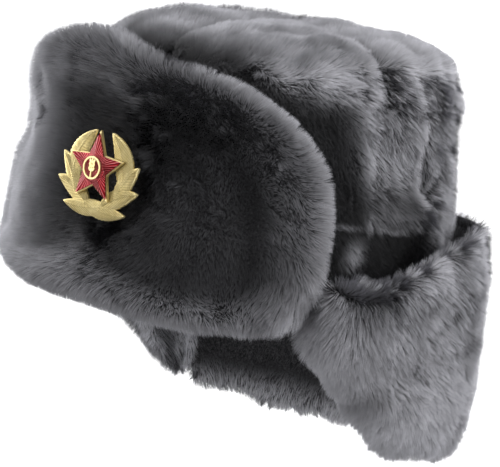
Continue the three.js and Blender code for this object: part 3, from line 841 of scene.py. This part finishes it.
def flap_fur(name, count):
    body = Body(name)
    shape_flap(body)
    roots, normals = body.scatter(flap_density, count)
    place = flap_places(roots)
    length = FLAP_HAIR["length"] + 0.6 * place["rim"] + 4.5 * place["corner"] + 0.6 * noise(roots, 12, 59)
    comb, length, tone = with_tufts(roots, normals, flap_comb(roots, place), length, flap_tone(roots, place))
    ruffle = np.maximum(place["corner"], place["rim"] * (1 - place["far"]) * (1 - 0.7 * place["low"]))
    lean = flap_lean(roots, place)
    dress(body, name, grow(body, name, roots, normals, comb, lean, length, tone, 0.35 + 0.3 * ruffle))


# Ear and neck flaps, which make one skirt

SKIRT_HAIR = {"sink": 5, "lean": 40, "length": 7.2, "tone": 0.78, "ruffle": 0.85}
# The seams between the ear flaps and the neck flap, and the height at which they end below
SKIRT_SEAM_ANGLE = 128
SKIRT_SEAM_END = -88
# Joint of the left ear flap and the front flap, for its form and its hairs, in columns like FLAP_CORNER
JOINT_FORM = (59, 13, -14, 26)
JOINT_HAIRS = (59, 11, -10, 24)
JOINT_RISE = 9
# How much deeper the inner side is sunk inside the crown, and the heights over which that begins
INNER_SINK = 5
INNER_SINK_HEIGHTS = (-4, 8)
# The neck flap's lower edge: the heights over which it drops, how far, and how much further at one seam
NECK_EDGE = {"heights": (-66, -90), "drop": 1, "seam_drop": 3, "seam_angle": -131, "seam_half_angle": 6}
# Rounded shoulders over the seams: half angle, heights, and the way in and down
SKIRT_SHOULDER = {"half_angle": 16, "heights": (8, 30), "inward": 3, "down": 4}
# Share of the normal across the skirt's wall, from its outer to its inner side
INNER_NORMALS = (-0.1, -0.6)
# Front edges of the ear flaps: height, and the left and the right flap's angle there
EAR_FRONT_EDGES = [
    (-95, 110, 122),
    (-86, 100, 115),
    (-73, 90, 106),
    (-57, 77.5, 96),
    (-50, 72.5, 90),
    (-39, 66.5, 79),
    (-22, 61, 64),
]
# Strip of painted light on the inner side along the front edge, in degrees, and along the lower edge, in
# heights
LIT_STRIP = (60, 30)
LIT_HEM = (-74, -98)
# Soft spots of painted light and shade on the ear and neck flaps, in the same columns as the crown's spots
SKIRT_PAINTED_LIGHT = [
    (118, 7, -22, 11, -0.38),
    (78, 5, -48, 13, -0.3),
    (74, 5, -22, 12, -0.18),
    (105, 4, 30, 6, -0.2),
    (72, 10, 3, 12, -0.2),
    (105, 20, -74, 16, 0.2),
    (-116, 14, -60, 20, 0.4),
]


def sink_skirt(body, name):
    """Sinks the skin to the hairs' roots, but not at the seams, and fills the joint."""
    height = body.points[:, 2]
    round_share = dot(body.normals, round_direction(body.points))
    near_seam = np.abs(np.abs(around(body.points)) - SKIRT_SEAM_ANGLE) < 4
    at_seam = near_seam & (np.abs(round_share) > 0.7) & (height > SKIRT_SEAM_END)
    inner = smooth_between(*INNER_NORMALS, dot(body.normals, level_out(body.points)))
    swell = noise(body.points, 26, 71) * 2 + noise(body.points, 12, 75) * 1.2
    inner_sink = INNER_SINK * inner * smooth_between(*INNER_SINK_HEIGHTS, height)
    joint = spot(body.points, *JOINT_FORM) * (1 - inner) * smooth_between(0.75, 0.25, body.normals[:, 2])
    press = np.where(at_seam, 0, SKIRT_HAIR["sink"] - swell + inner_sink - JOINT_RISE * joint)
    if name == "ear_flap_right":
        press = press * (1 - smooth_between(0.5, 0.9, round_share))
    body.outward(-press)


def lower_neck_edge(body):
    """Lets the neck flap's lower edge hang a little lower, most of all beside the far seam."""
    near_seam = hill(around(body.points), NECK_EDGE["seam_angle"], NECK_EDGE["seam_half_angle"])
    drop = NECK_EDGE["drop"] + NECK_EDGE["seam_drop"] * near_seam
    body.move(-UP * (drop * smooth_between(*NECK_EDGE["heights"], body.points[:, 2]))[:, None])


def round_shoulders(body):
    """Draws the skirt's top in and down over its seams."""
    near_seam = hill(np.abs(around(body.points)), SKIRT_SEAM_ANGLE, SKIRT_SHOULDER["half_angle"])
    shoulder = near_seam * smooth_between(*SKIRT_SHOULDER["heights"], body.points[:, 2])
    way_in = level_out(body.points) * SKIRT_SHOULDER["inward"] + UP * SKIRT_SHOULDER["down"]
    body.move(-way_in * shoulder[:, None])


def skirt_density(name):
    """Fewer hairs on the inner side, except on the right ear flap, whose inner side shows."""

    def density(middle, normal):
        inner = 1 if name == "ear_flap_right" else 0.3 + 0.7 * smooth_between(-70, -90, middle[:, 2])
        return np.where(dot(normal, level_out(middle)) > -0.2, 1, inner)

    return density


def lit_edge(name, roots):
    """1 along the lower edge and the front edge, the strips of the skirt's inner side that are painted light.
    """
    strip = 0
    if name != "neck_flap":
        heights, left_angles, right_angles = zip(*EAR_FRONT_EDGES)
        front_edge = np.interp(roots[:, 2], heights, left_angles if name.endswith("left") else right_angles)
        strip = smooth_between(*LIT_STRIP, np.abs(around(roots)) - front_edge)
    return np.maximum(smooth_between(*LIT_HEM, roots[:, 2]), strip)


def skirt_places(name, roots, normals):
    """How much each root lies in each kind of place: 0 to 1, and for the seam also down to -1."""
    angle = around(roots)
    inner = smooth_between(*INNER_NORMALS, dot(normals, level_out(roots)))
    edge = lit_edge(name, roots)
    towards_seam = np.sign(SKIRT_SEAM_ANGLE - np.abs(angle)) * np.sign(angle)
    at_seam = hill(np.abs(angle), SKIRT_SEAM_ANGLE, 4) * (roots[:, 2] > SKIRT_SEAM_END) * (1 - inner)
    return {
        # Painted light along the inner side's edges
        "inner_edge": edge * inner,
        # Painted shade over the rest of the inner side
        "shelter": inner * (1 - edge),
        "joint": spot(roots, *JOINT_HAIRS),
        "seam": towards_seam * at_seam,
        "crest": smooth_between(0.3, 0.9, normals[:, 2]),
        # Painted light on the low outer part
        "low": smooth_between(-30, -90, roots[:, 2]) * (1 - inner),
    }


def skirt_comb(roots, place):
    """Down, out over the crest, across the seams so that they close, and forward at the joint."""
    crest = place["crest"]
    comb = level_out(roots) * crest[:, None] - UP
    comb = comb + noise_vectors(roots, 26, 73) * 0.5
    comb = comb + noise_vectors(roots, 7, 79) * (0.25 + 0.4 * crest)[:, None]
    comb = comb - (round_direction(roots) * 1.2 + UP * 0.8) * place["joint"][:, None]
    return comb + round_direction(roots) * 1.6 * place["seam"][:, None]


def skirt_fur(name, count):
    body = Body(name)
    sink_skirt(body, name)
    if name == "neck_flap":
        lower_neck_edge(body)
    round_shoulders(body)
    roots, normals = body.scatter(skirt_density(name), count)
    place = skirt_places(name, roots, normals)
    lean = SKIRT_HAIR["lean"] + 4 * noise(roots, 20, 83) + 6 * noise(roots, 8, 87)
    lean = lean + 12 * place["joint"] - 12 * place["crest"] + 14 * place["inner_edge"]
    length = SKIRT_HAIR["length"] + 0.9 * noise(roots, 14, 89)
    length = length - 3 * place["shelter"] - 1.5 * place["inner_edge"] + 4 * place["joint"]
    mottle = 0.12 * noise(roots, 18, 97) + 0.06 * noise(roots, 8, 99)
    tone = SKIRT_HAIR["tone"] + mottle + 0.65 * place["inner_edge"] + 0.16 * place["low"]
    tone = (tone + patches(roots, SKIRT_PAINTED_LIGHT)) * (1 - 0.96 * place["shelter"])
    comb = skirt_comb(roots, place)
    dress(body, name, grow(body, name, roots, normals, comb, lean, length, tone, SKIRT_HAIR["ruffle"]))


crown_fur("crown_front_left", 80000)
crown_fur("crown_back_left", 110000, FINE_VOXEL)
crown_fur("crown_front_right", 60000)
crown_fur("crown_back_right", 80000)
flap_fur("front_flap", 160000)
skirt_fur("ear_flap_left", 120000)
skirt_fur("ear_flap_right", 80000)
skirt_fur("neck_flap", 90000)


# Badge

# Leaves of the wreath on the wearer's left, in the badge's plane: root, tip, half width and bow
WREATH_LEAVES = [
    ((16.4, -7.4), (4.8, 19.4), 5.9, -4.0),
    ((12.4, -14.0), (25.0, 5.9), 4.6, 1.4),
    ((3.6, -17.6), (26.4, -6.6), 4.8, 1.2),
    ((-8.0, -16.2), (20.6, -18.4), 4.3, -1.6),
]
# A leaf's mesh: its ends along the stem, its steps along and across, and the back's coarser stride
LEAF_ENDS = (0.015, 0.985)
LEAF_STEPS = 160
LEAF_ACROSS = 28
BACK_STRIDE = (10, 4)
# Its relief: heights, pitches, the veins' slant and the teeth's depth as a share
LEAF_EDGE_HEIGHT = 0.8
LEAF_DOME_HEIGHT = 0.95
RIB_HEIGHT = 0.25
RIB_HALF_WIDTH = 0.35
VEIN_PITCH = 1.1
VEIN_SLANT = 1.1
VEIN_HEIGHT = 0.22
TOOTH_PITCH = 2.1
TOOTH_DEPTH = 0.08
LAYER_STEP = 0.12


def badge_axes():
    """The badge's right, up and out."""
    turn = math.radians(BADGE_ANGLE)
    right = np.array([math.cos(turn), math.sin(turn), 0])
    out = np.array([math.sin(turn), -math.cos(turn), 0])
    return right, UP, out


def leaf_sheets(leaf, layer, mirror):
    """One leaf's veined front, back and edge, as grids of points and of how deep each lies in a vein."""
    root, tip, half_width, bow = leaf
    root = np.array(root)
    stem = np.array(tip) - root
    length = np.linalg.norm(stem)
    side = np.array([-stem[1], stem[0]]) / length
    share = np.linspace(*LEAF_ENDS, LEAF_STEPS + 1)[:, None]
    across = np.linspace(-1, 1, LEAF_ACROSS + 1)[None, :]
    tooth = 1 - TOOTH_DEPTH * (share * length / TOOTH_PITCH % 1)
    wide = half_width * np.sin(np.pi * share**0.8) ** 0.75 * tooth
    along = np.broadcast_to(share, (LEAF_STEPS + 1, LEAF_ACROSS + 1))
    aside = bow * 4 * share * (1 - share) + across * wide
    flat = root + stem * along[..., None] + side * aside[..., None]
    out_from_rib = np.abs(across)
    vein = np.cos(2 * np.pi * (share * length - out_from_rib * wide * VEIN_SLANT) / VEIN_PITCH)
    dome = (1 - out_from_rib**3) * np.minimum(wide / 2, 1)
    rib = RIB_HEIGHT * hill(across * wide, 0, RIB_HALF_WIDTH)
    height = LEAF_EDGE_HEIGHT + LEAF_DOME_HEIGHT * dome + rib
    veined = np.minimum(wide / 2, 1) * (1 - out_from_rib**6)
    height = height + VEIN_HEIGHT * vein * veined + layer
    groove = ((1 - vein) / 2) ** 2 * veined
    front = np.dstack([mirror * flat[..., 0], flat[..., 1], height])
    back = front[:: BACK_STRIDE[0], :: BACK_STRIDE[1]] * (1, 1, 0)
    rim = np.concatenate([front[:, 0], front[-1, :], front[::-1, -1], front[0, ::-1]])
    edge = np.stack([rim * (1, 1, 0), rim], axis=1)
    return [(front, groove), (back[:, ::-1], np.zeros(back.shape[:2])), (edge, np.zeros(edge.shape[:2]))]


def sheet_faces(rows, columns, start):
    """The quads between a grid's points, which are numbered from start."""
    corner = np.arange(start, start + rows * columns).reshape(rows, columns)
    first, second, third, fourth = corner[:-1, :-1], corner[1:, :-1], corner[1:, 1:], corner[:-1, 1:]
    return np.stack([first, second, third, fourth], axis=-1).reshape(-1, 4)


def wreath():
    """The leaves as one finely veined mesh in the place of the CAD wreath."""
    points = []
    grooves = []
    faces = []
    count = 0
    for number, leaf in enumerate(WREATH_LEAVES):
        for mirror in (1, -1):
            for sheet, groove in leaf_sheets(leaf, LAYER_STEP * (number + 0.5 * (mirror > 0)), mirror):
                rows, columns = sheet.shape[:2]
                quads = sheet_faces(rows, columns, count)
                faces.extend((quads if mirror == 1 else quads[:, ::-1]).tolist())
                points.append(sheet.reshape(-1, 3))
                grooves.append(groove.ravel())
                count += rows * columns
    right, up, out = badge_axes()
    points = np.concatenate(points)
    seat = out * BADGE_SEAT + up * BADGE_HEIGHT
    placed = (seat + points @ np.stack([right, up, out])) * MM
    mesh = bpy.data.meshes.new("badge_leaves")
    mesh.from_pydata(placed.tolist(), [], faces)
    shade_smooth(mesh)
    mesh.attributes.new("groove", "FLOAT", "POINT").data.foreach_set("value", np.concatenate(grooves))
    mesh.materials.append(GOLD)
    leaves = add_object("badge_leaves", mesh)
    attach(leaves, "root")
    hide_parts("badge_wreath")


wreath()
for part in ("badge_wreath", "badge_star", "badge_device", "badge_post"):
    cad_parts[part].material_slots[0].material = GOLD
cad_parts["badge_enamel"].material_slots[0].material = ENAMEL


# Stage, lights and camera

# Lights: name, azimuth, elevation, distance and size in metres, power in watts
LIGHTS = [
    ("key", 70, 74, 1.6, 1.6, 38),
    ("left_rim", -76, 14, 1.6, 2.2, 40),
    ("badge_card", -38, -4, 1.3, 1.4, 4.5),
    ("right_side", 124, 14, 1.8, 1.6, 26),
    ("front_fill", 60, 0, 2.2, 1.6, 4),
    ("under_fill", 48, -32, 0.7, 0.5, 1.7),
]


def stage():
    """A pale floor that curves up into a backdrop behind the hat."""
    floor_height = -0.42
    turn = 1.2
    steps = 24
    near = -2.5
    far = 3.2
    wide = 6
    top = 4
    profile = [(near, floor_height), (far - turn, floor_height)]
    for step in range(1, steps + 1):
        angle = math.pi / 2 * step / steps
        profile.append((far - turn + turn * math.sin(angle), floor_height + turn * (1 - math.cos(angle))))
    profile.append((far, top))
    azimuth = math.radians(CAMERA["azimuth"])
    forward = Vector((-math.sin(azimuth), math.cos(azimuth), 0))
    right = Vector((math.cos(azimuth), math.sin(azimuth), 0))
    points = []
    for away, height in profile:
        for side in (-wide, wide):
            points.append(forward * away + right * side + Vector((0, 0, height)))
    faces = [(2 * row, 2 * row + 1, 2 * row + 3, 2 * row + 2) for row in range(len(profile) - 1)]
    mesh = bpy.data.meshes.new("floor")
    mesh.from_pydata(points, [], faces)
    shade_smooth(mesh)
    floor = add_object("floor", mesh)
    material, nodes, links, shader = node_material("pale_floor")
    shader.inputs["Base Color"].default_value = (0.86, 0.86, 0.87, 1)
    shader.inputs["Roughness"].default_value = 0.9
    shader.inputs["Emission Color"].default_value = (1, 1, 1, 1)
    shader.inputs["Emission Strength"].default_value = 1
    mesh.materials.append(material)
    floor.visible_diffuse = False
    floor.visible_glossy = False


def facing(target, distance, azimuth, elevation, roll):
    """The placement of a camera or light that faces the target from a distance."""
    a, e, r = (math.radians(angle) for angle in (azimuth, elevation, roll))
    back = Vector((math.sin(a) * math.cos(e), -math.cos(a) * math.cos(e), math.sin(e)))
    right = Vector((math.cos(a), math.sin(a), 0))
    up = back.cross(right)
    axes = (right * math.cos(r) - up * math.sin(r), right * math.sin(r) + up * math.cos(r), back)
    return Matrix.Translation(Vector(target) + back * distance) @ Matrix(axes).transposed().to_4x4()


def area_light(name, azimuth, elevation, distance, size, power):
    """A white round light that faces the middle of the hat."""
    data = bpy.data.lights.new(name, "AREA")
    data.shape = "DISK"
    data.size = size
    data.energy = power
    add_object(name, data).matrix_world = facing((0, 0, 0), distance, azimuth, elevation, 0)


def camera():
    data = bpy.data.cameras.new("camera")
    data.lens = CAMERA["lens"]
    data.sensor_width = 36
    data.clip_end = 50
    viewer = add_object("camera", data)
    angles = (CAMERA["azimuth"], CAMERA["elevation"], CAMERA["roll"])
    viewer.matrix_world = facing(CAMERA["target"], CAMERA["distance"], *angles)
    bpy.context.scene.camera = viewer


stage()
camera()
for light in LIGHTS:
    area_light(*light)
world = bpy.data.worlds.new("studio")
world.use_nodes = True
background = world.node_tree.nodes["Background"]
background.inputs["Color"].default_value = (1, 1, 1, 1)
background.inputs["Strength"].default_value = 0.24
bpy.context.scene.world = world
bpy.context.scene.view_settings.view_transform = "Standard"
